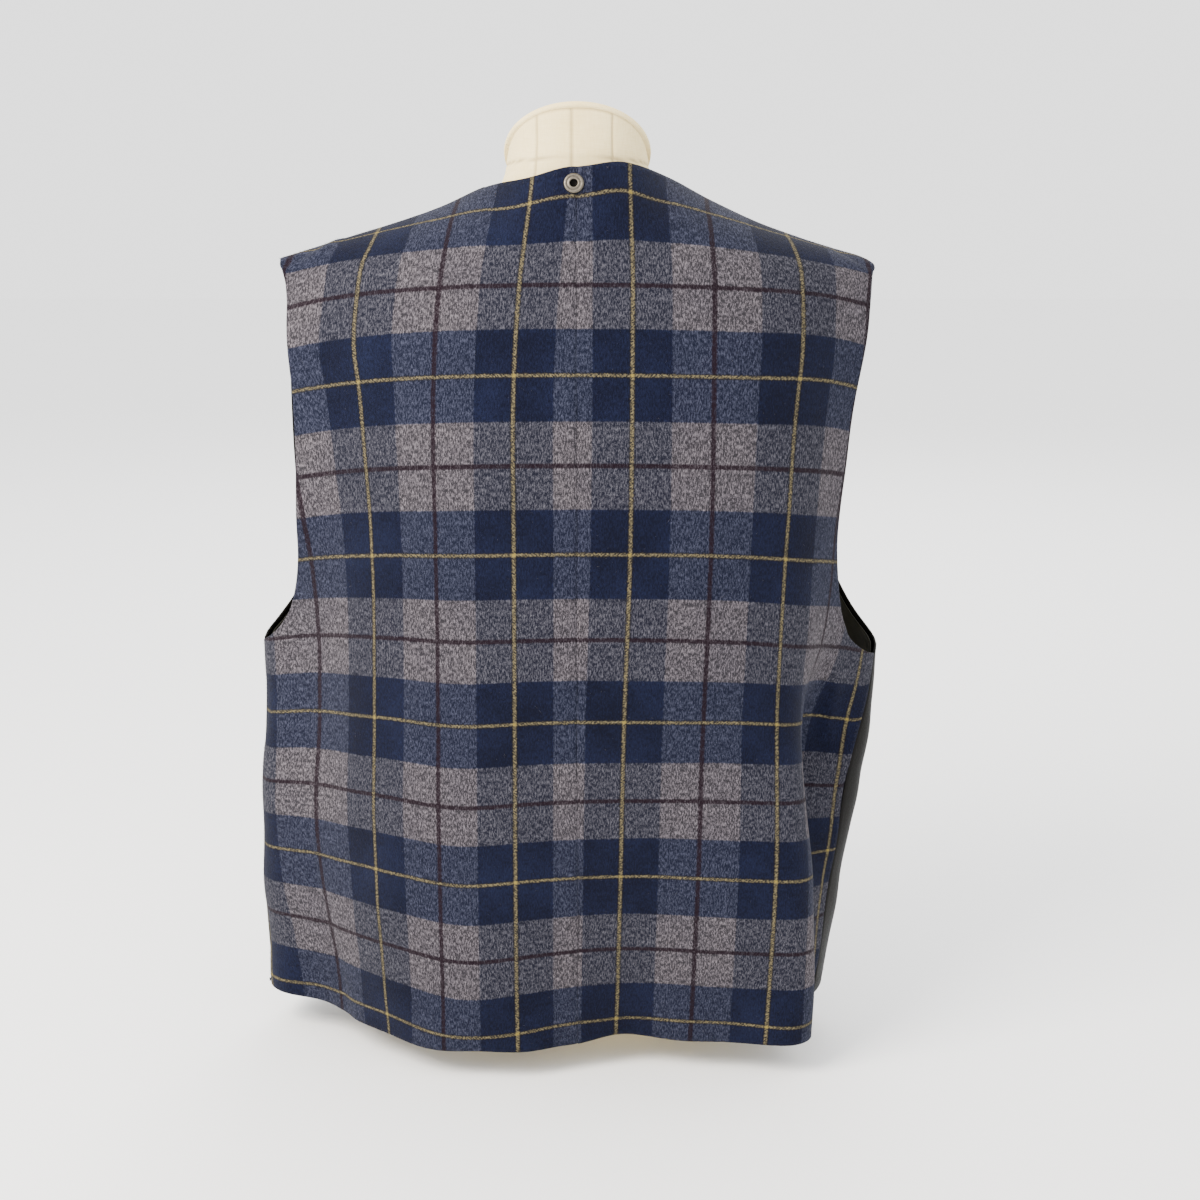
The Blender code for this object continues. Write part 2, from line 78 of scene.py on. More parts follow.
# the vest's cloth: girth runs along the cloth from the centre back seam and down along the grain
# from the centre back neck, both in mm; the heading of the cloth in plan gives each point its place

vest = {
    "length": 695.0,
    "topRow": 22.0,  # first level row, at the armhole's top
    "frontGirth": 250.0,
    "yokeDown": 90.0, "overRise": 1.2,
    "chestDown": 300.0, "frontBulge": 0.8,
    "seamGap": 0.04, "cornerGap": 0.6, "cornerReach": 20.0,
    "stillBack": 0.55, "stillFront": 0.56, "holdGirth": 300.0,
    "headingSteps": 72, "fallSteps": 600, "steepest": 0.95,
    "sideGirth": 285.0, "sidePower": 2.5,  # how the side's drop grows with the girth
    "frontLess": 0.7, "frontFrom": 330.0, "frontOver": 200.0,
    "hemFrom": 500.0, "hemOver": 200.0,
    "down": (-20, 24, 90, 156, 222, 288, 354, 420, 486, 552, 618, 700),
    "depth": (56, 68, 87, 103, 113, 114, 110, 104, 97, 88, 78, 67),
    "twist": (0, 0, 0, 0, 0, 0, 0, 1, 4, 7, 12, 19),
    "sideDrop": {left: (40, 36, 34, 34, 34, 32, 28, 24, 16, 9, 3, 0),
                 right: (40, 36, 34, 34, 34, 36, 40, 30, 21, 11, 4, 0)},
    "bendDown": (60, 222, 350, 430, 560, 696),
    "bends": {  # name: (girth, drift by the hem, length, turns at bendDown)
        left: {
            "back round": (90, 0, 180, (30, 28, 30, 30, 36, 54)),
            "soft ridge": (175, 0, 70, (0, 2, 16, 20, 14, 14)),
            "soft hollow": (235, 0, 50, (0, 0, -12, -18, -12, -30)),
            "side": (301, 0, 74, (98, 98, 96, 100, 94, 102)),
            "chest": (455, 0, 180, (56, 56, 58, 56, 56, 58)),
        },
        right: {
            "valley": (45, 0, 90, (0, 0, 0, -4, -18, -34)),
            "back round": (110, 0, 220, (30, 32, 28, 28, 16, 8)),
            "fold edge": (176, 14, 60, (0, 18, 38, 78, 106, 122)),
            "fold hollow": (231, 8, 44, (0, -4, -18, -84, -68, -54)),
            "side": (312, 0, 60, (94, 84, 82, 108, 94, 74)),
            "chest": (455, 0, 180, (56, 56, 58, 58, 58, 58)),
        },
    },
    "top": {  # neck and shoulder edge, by girth
        "girth": (0, 38, 74, 105, 140, 232),
        "down": (2, 2, -8, -4, 2, 22),
        "out": (0, 36, 70, 101, 136, 228),
        "forward": (-60, -50, -12, 0, 8, 12),
        left: (-2, -10, -17, -30.5, -43, -71),
        right: (-2, 1, -11, -27, -43, -73),
        "rise": (72, 62, 22, 10, 4, 0),
        "frontFall": 24.0, "frontTip": {left: 232, right: 221},
    },
    "armhole": {
        "down": (22, 36, 60, 100, 160, 240, 290, 312, 332, 346, 354),
        left: (232, 235, 237, 238, 229, 230, 238, 247, 260, 278, 300),
        right: (221, 231, 236, 237, 231, 225, 228, 234, 247, 268, 300),
        "front": (394, 394, 394, 394, 394, 395, 382, 364, 341, 319, 300),
    },
    "sideSeam": {"down": (354, 695), left: (302, 306), right: (298, 276)},
    "hem": {
        left: {"girth": (0, 40, 80, 110, 150, 200, 300, 550),
               "down": (696, 696, 696, 697, 696, 694, 687, 689)},
        right: {"girth": (0, 30, 60, 100, 176, 230, 300, 550),
                "down": (696, 692, 694, 695, 692, 692, 686, 689)},
    },
}


def levelValue(down, values):  # the table's value at this level
    return smoothTable(down, vest["down"], values)


def heading(side, girth, down):  # twist at the centre back plus each bend passed
    turn = side * levelValue(down, vest["twist"])
    knots = vest["bendDown"]
    lowered = smoothStep((down - knots[2]) / (knots[-1] - knots[2]))
    for at, drift, over, turns in vest["bends"][side].values():
        passed = smoothStep((girth - at - drift * lowered) / over + 0.5)
        turn = turn + smoothTable(down, knots, turns) * passed
    return np.radians(turn)


def fallTable():  # height lost along the centre back, by length of cloth
    downs = np.linspace(vest["down"][0], vest["down"][-1], vest["fallSteps"])
    slope = np.gradient(levelValue(downs, vest["depth"]), downs)
    share = np.sqrt(1.0 - np.clip(slope, -vest["steepest"], vest["steepest"]) ** 2)
    fall = np.concatenate([[0.0], np.cumsum((share[1:] + share[:-1]) / 2 * np.diff(downs))])
    return downs, fall - np.interp(0.0, downs, fall)


fallDowns, falls = fallTable()


def ringPoint(side, girth, down):  # the mean of the heading's cosine and sine, times the girth
    girth, down = np.broadcast_arrays(np.asarray(girth, float), np.asarray(down, float))
    shares = (np.arange(vest["headingSteps"]) + 0.5) / vest["headingSteps"]
    out, forward = np.zeros(girth.shape), np.zeros(girth.shape)
    for share in shares:
        turn = heading(side, girth * share, down)
        out += np.cos(turn) / len(shares)
        forward += np.sin(turn) / len(shares)
    frontShare = smoothStep((girth - vest["frontFrom"]) / vest["frontOver"])
    sideShare = np.clip(girth / vest["sideGirth"], 0.0, 1.0) ** vest["sidePower"]
    sideShare = sideShare * (1.0 - vest["frontLess"] * frontShare)
    height = -np.interp(down, fallDowns, falls) - levelValue(down, vest["sideDrop"][side]) * sideShare
    return np.stack([side * girth * out, girth * forward - levelValue(down, vest["depth"]), height], -1)


def riseBetween(foot, footSlope, top, topSlope, share):  # cubic Hermite between two edges
    share = share[..., None]
    return (foot * (1 + 2 * share) * (1 - share) ** 2 + footSlope * share * (1 - share) ** 2
            + top * share ** 2 * (3 - 2 * share) + topSlope * share ** 2 * (share - 1))


def topValue(girth, name):  # the nape's row is mirrored over the centre back
    knots, values = list(vest["top"]["girth"]), list(vest["top"][name])
    mirrored = -values[1] if name == "out" else values[1]
    return smoothTable(girth, [-knots[1]] + knots, [mirrored] + values)


def topPoint(side, girth):  # out, forward and up from the top table
    return np.stack([side * topValue(girth, "out"), topValue(girth, "forward"), topValue(girth, side)], -1)


def topSlope(girth, fall=0.0):  # the cloth's direction over the top edge, less the fall
    rise = np.radians(topValue(girth, "rise") - fall)
    return np.stack([np.zeros_like(rise), np.cos(rise), np.sin(rise)], -1)


def backPoint(side, girth, down):  # ring below the yoke line, cubic rise above it
    girth, down = np.broadcast_arrays(np.asarray(girth, float), np.asarray(down, float))
    yoke = vest["yokeDown"]
    ring = ringPoint(side, girth, np.maximum(down, yoke))
    foot = ringPoint(side, girth, yoke)
    rise = yoke - topValue(girth, "down")
    share = np.clip((yoke - down) / rise, 0.0, vest["overRise"])
    climb = riseBetween(foot, (foot - ringPoint(side, girth, yoke + 1.0)) * rise[..., None],
                        topPoint(side, girth), topSlope(girth) * rise[..., None], share)
    return np.where((down < yoke)[..., None], climb, ring)


def seamGirth(side, down):  # the side seam's girth at this level
    return smoothTable(down, vest["sideSeam"]["down"], vest["sideSeam"][side])


def edgeGirth(side, panel, down):  # armhole edge, then the side seam
    knots = vest["armhole"]["down"]
    edge = smoothTable(down, knots, vest["armhole"]["front" if panel == "front" else side])
    ease = smoothStep((down - knots[-3]) / (knots[-1] - knots[-3]))
    edge = edge + ease * (seamGirth(side, down) - vest["armhole"][side][-1])
    near = np.clip(1.0 - np.abs(down - knots[-1]) / vest["cornerReach"], 0.0, 1.0)
    gap = vest["seamGap"] + vest["cornerGap"] * near
    return edge + (gap / 2 if panel == "front" else -gap / 2)


def backGirth(side, across, down):  # the half next to the centre keeps its girth
    still, start = vest["stillBack"], vest["seamGap"] / 2
    hold = still * vest["holdGirth"]
    outer = hold + (edgeGirth(side, "back", down) - hold) * (across - still) / (1.0 - still)
    return np.where(across < still, start + (hold - start) * across / still, outer)


def frontGirth(side, across, down):  # the half next to the front edge keeps its girth
    still, width = vest["stillFront"], vest["frontGirth"]
    edge, seam = edgeGirth(side, "front", down), seamGirth(side, down)
    outer = edge + (seam + width * still - edge) * across / still
    return np.where(across < still, outer, seam + width * across)


def frontPoint(side, across, down):  # ring below the chest line, over the shoulder above it
    across, down = np.broadcast_arrays(np.asarray(across, float), np.asarray(down, float))
    chest = vest["chestDown"]
    ring = ringPoint(side, frontGirth(side, across, down), np.maximum(down, chest))
    girth = frontGirth(side, across, chest)
    foot = ringPoint(side, girth, chest)
    neck, tip = vest["top"]["girth"][2], vest["top"]["frontTip"][side]
    seam = tip + (neck - tip) * across
    length = chest - topValue(seam, "down")
    fall = -topSlope(seam, vest["top"]["frontFall"]) * length[..., None] * vest["frontBulge"]
    climb = riseBetween(foot, (foot - ringPoint(side, girth, chest + 1.0)) * length[..., None],
                        topPoint(side, seam), fall, np.clip((chest - down) / length, 0.0, 1.0))
    return np.where((down < chest)[..., None], climb, ring)


def hemDrop(side, girth, levels):  # eases the level rows onto the hem line
    hem = smoothTable(girth, vest["hem"][side]["girth"], vest["hem"][side]["down"])
    return smoothStep((levels - vest["hemFrom"]) / vest["hemOver"]) * (hem - vest["length"])


# meshes

def rimLoop(rows, columns):  # indices round the edge of a grid, one way round
    top = np.arange(columns - 1)
    rightSide = np.arange(rows - 1) * columns + columns - 1
    bottom = (rows - 1) * columns + np.arange(columns - 1, 0, -1)
    leftSide = np.arange(rows - 1, 0, -1) * columns
    return np.concatenate([top, rightSide, bottom, leftSide])


rimRound = 0.35  # how far a rim stands out, as a share of the wall


def shellObject(name, outer, wall, cloth=None):
    # outer grid, inner grid a wall's thickness behind it, and a rounded rim between the two
    rows, columns = outer.shape[:2]
    normal = gridNormals(outer)
    inner = outer - normal * wall
    loop = rimLoop(rows, columns)
    flatOuter, flatInner = outer.reshape(-1, 3), inner.reshape(-1, 3)
    row, column = np.divmod(loop, columns)
    inward = np.clip(row, 1, rows - 2) * columns + np.clip(column, 1, columns - 2)
    away = unit(flatOuter[loop] - flatOuter[inward])
    middle = (flatOuter[loop] + flatInner[loop]) / 2 + away * wall * rimRound
    count = rows * columns
    first = (np.arange(rows - 1)[:, None] * columns + np.arange(columns - 1)).ravel()
    front = np.stack([first, first + columns, first + columns + 1, first + 1], -1)
    back = np.stack([first, first + 1, first + columns + 1, first + columns], -1) + count
    follow, mid = np.roll(loop, -1), 2 * count + np.arange(len(loop))
    midFollow = np.roll(mid, -1)
    rimA = np.stack([loop, follow, midFollow, mid], -1)
    rimB = np.stack([mid, midFollow, follow + count, loop + count], -1)
    faces = np.concatenate([front, back, rimA, rimB])
    places = np.concatenate([flatOuter, flatInner, middle])
    item = meshObject(name, (places + moved) * mm, faces)
    if cloth is not None:
        flat = cloth.reshape(-1, 2)
        paint = np.concatenate([flat, flat, flat[loop]])
        layer = item.data.uv_layers.new(name="cloth")
        corner = np.empty(len(item.data.loops), dtype=np.int32)
        item.data.loops.foreach_get("vertex_index", corner)
        layer.data.foreach_set("uv", paint[corner].astype(np.float32).ravel())
    return item


def meshObject(name, places, faces):  # whole arrays into a smooth mesh of one face size
    mesh = bpy.data.meshes.new(name)
    faces = np.asarray(faces)
    mesh.vertices.add(len(places))
    mesh.vertices.foreach_set("co", np.asarray(places, np.float32).ravel())
    mesh.loops.add(faces.size)
    mesh.loops.foreach_set("vertex_index", faces.astype(np.int32).ravel())
    mesh.polygons.add(len(faces))
    mesh.polygons.foreach_set("loop_start", np.arange(0, faces.size, faces.shape[1], dtype=np.int32))
    mesh.update(calc_edges=True)
    mesh.validate()
    mesh.shade_smooth()
    item = bpy.data.objects.new(name, mesh)
    bpy.context.scene.collection.objects.link(item)
    return item


sharpAngle = 40.0  # degrees


def mixedObject(name, places, groups):  # faces of three and four corners in one mesh
    mesh = bpy.data.meshes.new(name)
    mesh.from_pydata(places.tolist(), [], [face for group in groups for face in group.tolist()])
    mesh.validate()
    mesh.shade_smooth()
    mesh.set_sharp_from_angle(angle=math.radians(sharpAngle))
    item = bpy.data.objects.new(name, mesh)
    bpy.context.scene.collection.objects.link(item)
    return item


def ringFaces(rows, count):  # four corners a face; the last column meets the first
    start = np.arange(rows - 1)[:, None] * count
    first = (start + np.arange(count)).ravel()
    follow = (start + (np.arange(count) + 1) % count).ravel()
    return np.stack([first, first + count, follow + count, follow], -1)


def pointValues(item, name, values):  # one number a vertex, for a material to read
    layer = item.data.attributes.new(name, "FLOAT", "POINT")
    layer.data.foreach_set("value", values.astype(np.float32))


# shader maths

class Wire:  # a socket; operators add Math nodes
    def __init__(self, tree, socket):
        self.tree, self.socket = tree, socket

    def node(self, kind, settings=None, inputs=None, output=0):  # a new node's output
        made = self.tree.nodes.new(kind)
        for key, value in (settings or {}).items():
            setattr(made, key, value)
        for key, value in (inputs or {}).items():
            if isinstance(value, Wire):
                self.tree.links.new(value.socket, made.inputs[key])
            else:
                made.inputs[key].default_value = value
        return Wire(self.tree, made.outputs[output])

    def maths(self, operation, *values):  # the operation on the values in order
        return self.node("ShaderNodeMath", {"operation": operation}, dict(enumerate(values)))

    def __add__(self, other):
        return self.maths("ADD", self, other)

    def __sub__(self, other):
        return self.maths("SUBTRACT", self, other)

    def __mul__(self, other):
        return self.maths("MULTIPLY", self, other)

    def __truediv__(self, other):
        return self.maths("DIVIDE", self, other)

    def __rsub__(self, other):
        return self.maths("SUBTRACT", other, self)

    __radd__ = __add__

    def clamped(self):  # kept between 0 and 1
        return self.node("ShaderNodeClamp", None, {0: self, 1: 0.0, 2: 1.0})

    def under(self, limit, softness):  # 1 where the value is under the limit
        return ((limit - self) / softness + 0.5).clamped()

    def between(self, low, high):  # 0 at low, 1 at high
        return ((self - low) / (high - low)).clamped()

    def away(self, half):  # distance to the nearest multiple of twice half
        return self.maths("PINGPONG", self, half)

    def mixed(self, factor, first, second):  # first at factor 0, second at factor 1
        first = (*first, 1.0) if isinstance(first, tuple) else first
        second = (*second, 1.0) if isinstance(second, tuple) else second
        return self.node("ShaderNodeMix", {"data_type": "RGBA"}, {0: factor, 6: first, 7: second}, 2)


def newMaterial(name, constants):  # the material, a wire to start from and its shader
    material = bpy.data.materials.new(name)
    material.use_nodes = True
    tree = material.node_tree
    shader = tree.nodes["Principled BSDF"]
    for key, value in constants.items():
        shader.inputs[key].default_value = value
    return material, Wire(tree, shader.outputs[0]), shader


def join(wire, shader, key):  # the wire drives that input of the shader
    wire.tree.links.new(wire.socket, shader.inputs[key])


def noise(start, at, detail=2.0, roughness=0.5, scale=1.0):  # fractal noise, about 0 to 1
    return start.node("ShaderNodeTexNoise", None,
                      {"Vector": at, "Scale": scale, "Detail": detail, "Roughness": roughness})


def bump(start, height, distance, strength):  # a normal from a height, distance in metres
    return start.node("ShaderNodeBump", None,
                      {"Height": height, "Distance": distance, "Strength": strength})


def stretched(start, at, x, y, z=1.0):  # the place times a scale on each axis
    return start.node("ShaderNodeMapping", None, {"Vector": at, "Scale": (x, y, z)})


def objectPlace(start):  # the point in the object's own metres
    return start.node("ShaderNodeTexCoord", None, None, 3)


def pointWire(start, name):  # a number stored on the vertices
    return start.node("ShaderNodeAttribute", {"attribute_name": name}, None, 2)


def srgb(red, green, blue):  # 0 to 255 display values to linear light
    linear = []
    for value in (red, green, blue):
        value = value / 255.0
        linear.append(value / 12.92 if value <= 0.04045 else ((value + 0.055) / 1.055) ** 2.4)
    return tuple(linear)


# plaid wool

plaid = {
    "columnHalf": 60.0, "rowHalf": 65.25,  # half repeats, mm
    "navyColumn": 29.0, "navyRow": 33.4,  # half widths, mm
    "goldWidth": 1.25, "goldHeight": 1.1, "goldEdge": 0.9,
    "plumWidth": 1.75, "plumHeight": 1.7,
    "ragged": 2.6, "softEdge": 0.9, "apart": 1200.0,
    "navy": srgb(6, 8, 23), "navyLight": srgb(18, 23, 45),
    "slate": srgb(14, 17, 32), "slateFleck": srgb(76, 79, 97),
    "slateRow": srgb(18, 19, 30), "slateRowFleck": srgb(92, 91, 99),
    "grey": srgb(37, 35, 39), "greyFleck": srgb(108, 102, 108),
    "gold": srgb(106, 97, 71), "goldDark": srgb(20, 19, 22), "goldCross": srgb(122, 106, 50),
    "brown": srgb(15, 13, 13), "plum": srgb(19, 8, 16),
    "edgeMore": 1.0, "edgeSoft": 0.8, "plumSoft": 1.0,
    "dots": 1.1, "twill": 0.55,  # half repeats, mm
    "plumShare": 0.95, "edgeShare": 0.6, "goldShare": 0.86, "crossShare": 0.9,
    "cool": (0.90, 0.90, 0.92), "warm": (1.08, 1.07, 1.05),
    "bumpDepth": 0.0006, "bumpStrength": 0.9,
    "firstRow": 24.0,  # level of the first gold row
    "still": 100.0, "full": 165.0, "over": 236.0, "gone": 275.0,  # girths where the stretch starts and ends
    "edgeStart": 200.0, "last": 287.0,
    # stretch, edge and rowBend: pulls along the cloth by level, mm
    left: {"down": (0, 150, 288, 420, 700), "gold": (34, 45, 46, 47, 50),
           "stretchDown": (24, 45, 62, 95, 131, 154, 175, 210, 250, 312, 335, 400, 480, 550, 620, 700),
           "stretch": (0, 3, 7, 9, 8, 4, 1, -3, -6, -7, -6, -4, -2, -3, -6, -7),
           "edgeDown": (300, 380, 480, 560, 630, 700), "edge": (22, 22, 20, 16, 8, 5)},
    right: {"down": (0, 150, 288, 420, 552, 690), "gold": (41, 40.5, 39, 35, 33, 31),
            "stretchDown": (24, 45, 62, 95, 131, 175, 250, 335, 500, 700),
            "stretch": (2, 6, 9, 11, 11, 7, 2, -1, 0, 0),
            "edgeDown": (300, 400, 460, 520, 600, 700), "edge": (0, 4, 8, 6, 0, -4)},
    "rowBend": {left: (92.0, 45.0, (0, 285, 415, 546, 677, 700), (0, 1, 4, 6, 8, 8)),
                right: (200.0, 60.0, (0, 60, 154, 240, 700), (0, -2, -4, 0, 0))},
}


def plaidPlace(side, girth, down):
    # girth and level less the first gold lines', less the pulls; each pull is its table times a share
    rows = plaid[side]
    rise = np.clip((girth - plaid["still"]) / (plaid["full"] - plaid["still"]), 0.0, 1.3)
    outer = rise * np.clip((plaid["gone"] - girth) / (plaid["gone"] - plaid["over"]), 0.0, 1.0)
    outer = outer * smoothTable(down, rows["stretchDown"], rows["stretch"])
    edge = np.clip((girth - plaid["edgeStart"]) / (plaid["last"] - plaid["edgeStart"]), 0.0, 1.2)
    outer = outer + edge * smoothTable(down, rows["edgeDown"], rows["edge"])
    centre, reach, downs, bends = plaid["rowBend"][side]
    lowered = bell((girth - centre) / reach) * smoothTable(down, downs, bends)
    across = girth - smoothTable(down, rows["down"], rows["gold"]) - outer
    return np.stack([across + plaid["apart"] * (side == left), down - plaid["firstRow"] - lowered], -1)


def woolMaterial(name):
    # bands by distance to the repeat's middle, flecked by the grain, then plum and gold lines over them
    material, start, shader = newMaterial(name, {
        "Roughness": 0.95, "Sheen Weight": 0.025, "Sheen Roughness": 0.5, "Specular IOR Level": 0.08})
    place = start.node("ShaderNodeUVMap", {"uv_map": "cloth"})
    ragged = noise(start, stretched(start, place, 0.6, 0.5), 3.0, 0.65) - 0.5
    parts = [start.node("ShaderNodeSeparateXYZ", None, {0: place}, index) for index in (0, 1)]
    column = (parts[0] + ragged * plaid["ragged"]).away(plaid["columnHalf"])
    row = (parts[1] + ragged * plaid["ragged"]).away(plaid["rowHalf"])
    navyColumn = column.under(plaid["navyColumn"], plaid["softEdge"])
    navyRow = row.under(plaid["navyRow"], plaid["softEdge"])
    fine = noise(start, stretched(start, place, 1.9, 1.3), 1.0, 0.6)
    streak = noise(start, stretched(start, place, 1.0, 0.34), 2.0, 0.7)
    coarse = noise(start, stretched(start, place, 0.30, 0.13), 2.0, 0.6)
    cloudy = noise(start, stretched(start, place, 0.022, 0.022), 2.0, 0.5)
    grain = streak * 0.75 + fine * 0.25 + (coarse - 0.5) * 0.22
    fleck = grain.between(0.45, 0.68)
    both = start.mixed(fleck, plaid["grey"], plaid["greyFleck"])
    upright = start.mixed(fleck * 0.56, plaid["slate"], plaid["slateFleck"])
    level = start.mixed(fleck * 0.70, plaid["slateRow"], plaid["slateRowFleck"])
    navy = start.mixed((grain + (cloudy - 0.5) * 0.3).between(0.4, 0.7), plaid["navy"], plaid["navyLight"])
    greyRow = start.mixed(navyColumn, both, level)
    colour = start.mixed(navyRow, greyRow, start.mixed(navyColumn, upright, navy))
    plumColumn = (plaid["columnHalf"] - column).under(plaid["plumWidth"], plaid["plumSoft"])
    plumRow = (plaid["rowHalf"] - row).under(plaid["plumHeight"], plaid["plumSoft"])
    plumShare = (plumColumn * plaid["plumShare"] + plumRow * plaid["plumShare"]).clamped()
    colour = start.mixed(plumShare * (1.0 - fleck * 0.3), colour, plaid["plum"])
    edgeColumn = column.under(plaid["goldWidth"] + plaid["edgeMore"], plaid["edgeSoft"])
    edgeRow = row.under(plaid["goldHeight"] + plaid["edgeMore"], plaid["edgeSoft"])
    colour = start.mixed((edgeColumn + edgeRow).clamped() * plaid["edgeShare"], colour, plaid["brown"])
    goldColumn = column.under(plaid["goldWidth"], plaid["goldEdge"])
    goldRow = row.under(plaid["goldHeight"], plaid["goldEdge"])
    dots = (parts[0] * 0.9 + parts[1]).away(plaid["dots"]).between(0.2, 0.9)
    knots = noise(start, stretched(start, place, 0.62, 0.62), 2.0, 0.7).between(0.44, 0.60)
    thread = (dots * 0.3 + knots * 0.8).clamped()
    yarn = start.mixed(thread, plaid["goldDark"], plaid["gold"])
    colour = start.mixed((goldColumn + goldRow).clamped() * plaid["goldShare"], colour, yarn)
    colour = start.mixed(goldColumn * goldRow * plaid["crossShare"], colour, plaid["goldCross"])
    shade = start.mixed(cloudy.between(0.3, 0.7), plaid["cool"], plaid["warm"])
    colour = start.node("ShaderNodeMix", {"data_type": "RGBA", "blend_type": "MULTIPLY"},
                        {0: 1.0, 6: colour, 7: shade}, 2)
    join(colour, shader, "Base Color")
    twill = (parts[0] + parts[1]).away(plaid["twill"])
    height = fine * 0.6 + streak * 0.8 + twill * 0.2
    join(bump(start, height, plaid["bumpDepth"], plaid["bumpStrength"]), shader, "Normal")
    return material


# back panels

backPanel = {
    "rows": 236, "columns": 104, "wall": 2.2,
    "seamDip": 0.7, "seamWidth": 2.6,
    "cloudWave": 0.35, "shoulderGap": 0.3,
    "edgeWave": 0.7, "edgeReach": 12.0, "edgeRepeat": 17.0, "edgeFar": 40.0,
    "hemWave": 1.6, "hemReach": 30.0, "hemRepeat": 13.0, "hemTurn": 1.7, "hemStill": 40.0,
    "creases": {  # from (girth, down) to (girth, down), width, depth inward
        left: (
            ((236, 560), (216, 680), 9.0, 1.6),
            ((205, 26), (228, 44), 5.0, 1.5),
            ((188, 18), (204, 40), 5.0, -1.2),
            ((214, 40), (232, 66), 6.0, 1.2),
            ((150, 420), (182, 560), 16.0, 1.2),
            ((20, 60), (120, 76), 12.0, 0.8),
        ),
        right: (
            ((205, 26), (226, 44), 5.0, 1.2),
            ((236, 372), (262, 440), 8.0, 1.4),
            ((258, 380), (266, 430), 6.0, -1.2),
            ((250, 470), (262, 560), 8.0, 1.0),
            ((20, 48), (110, 64), 12.0, 0.8),
            ((120, 420), (60, 520), 18.0, 0.9),
        ),
    },
}


creaseEase = 3.0  # a crease fades over a third of its length, past each end
cloudSizes = (210.0, 140.0, 95.0, 60.0, 42.0)  # wave lengths, mm


def creaseDepth(creases, girth, down):
    # each crease: depth times a bell across its line times an ease at both of its ends
    total = np.zeros(girth.shape)
    for (g0, d0), (g1, d1), width, depth in creases:
        length = math.hypot(g1 - g0, d1 - d0)
        alongG, alongD = (g1 - g0) / length, (d1 - d0) / length
        along = ((girth - g0) * alongG + (down - d0) * alongD) / length
        across = (girth - g0) * -alongD + (down - d0) * alongG
        ends = smoothStep(along * creaseEase + 1.0) * smoothStep((1.0 - along) * creaseEase + 1.0)
        total += depth * bell(across / width) * ends
    return total


def unevenCloth(girth, down, seed):  # a sum of slow sines with seeded slopes and phases
    draw = np.random.default_rng(seed)
    total = np.zeros(girth.shape)
    for size in cloudSizes:
        turn, phase = draw.uniform(0, math.pi), draw.uniform(0, 2 * math.pi)
        along = girth * math.cos(turn) + down * math.sin(turn)
        total += size / cloudSizes[0] * np.sin(along * 2 * math.pi / size + phase)
    return total


def clothPiece(name, side, points, wall, material, cloth=None):
    if side == left:  # its columns are turned round, so that it faces outward
        points = points[:, ::-1]
        cloth = None if cloth is None else cloth[:, ::-1]
    piece = shellObject(name, points, wall, cloth)
    piece.data.materials.append(material)
    return piece


def makeBack(side, name, material):
    # the back surface plus its lift: clouds, edge and hem waves, less the creases and the seam's dip
    rows, columns = backPanel["rows"], backPanel["columns"]
    topRow, yoke = vest["topRow"], vest["yokeDown"]
    levels = np.linspace(topRow, vest["length"], rows)[:, None]
    across = np.linspace(0.0, 1.0, columns)[None, :]
    girth = backGirth(side, across, levels)
    high = np.clip((yoke - levels) / (yoke - topRow), 0.0, 1.0)
    top = topValue(girth[0], "down") + backPanel["shoulderGap"]
    down = levels + high * (top - topRow) + hemDrop(side, girth, levels)
    points = backPoint(side, girth, down)
    outward = gridNormals(points) * side
    edge = edgeGirth(side, "back", np.maximum(down, topRow))
    fromEdge = np.minimum(edge - girth, backPanel["edgeFar"])
    fromHem = vest["length"] - levels
    depth = creaseDepth(backPanel["creases"][side], girth, down)
    depth = depth + backPanel["seamDip"] * bell(girth / backPanel["seamWidth"])
    lift = backPanel["cloudWave"] * unevenCloth(girth, down, seeds["back"] + side) - depth
    edgeWave = bell(fromEdge / backPanel["edgeReach"]) * np.sin(down / backPanel["edgeRepeat"] + side)
    hemWave = np.sin(girth / backPanel["hemRepeat"] + backPanel["hemTurn"] * side)
    hemWave = hemWave * bell(fromHem / backPanel["hemReach"]) * smoothStep(girth / backPanel["hemStill"])
    lift = lift + backPanel["edgeWave"] * edgeWave + backPanel["hemWave"] * hemWave
    points = points + outward * lift[..., None]
    cloth = plaidPlace(side, girth, down)
    return clothPiece(name, side, points, backPanel["wall"], material, cloth), points, outward


nap = {
    "short": 3000, "shortLength": (0.9, 2.0), "lint": 30, "lintLength": (6.0, 14.0),
    "radius": 0.04, "rings": 5, "lean": 0.55, "lintLean": 0.06,
    "ends": 0.4, "bend": 0.25, "droop": 0.05, "above": 0.1,
}


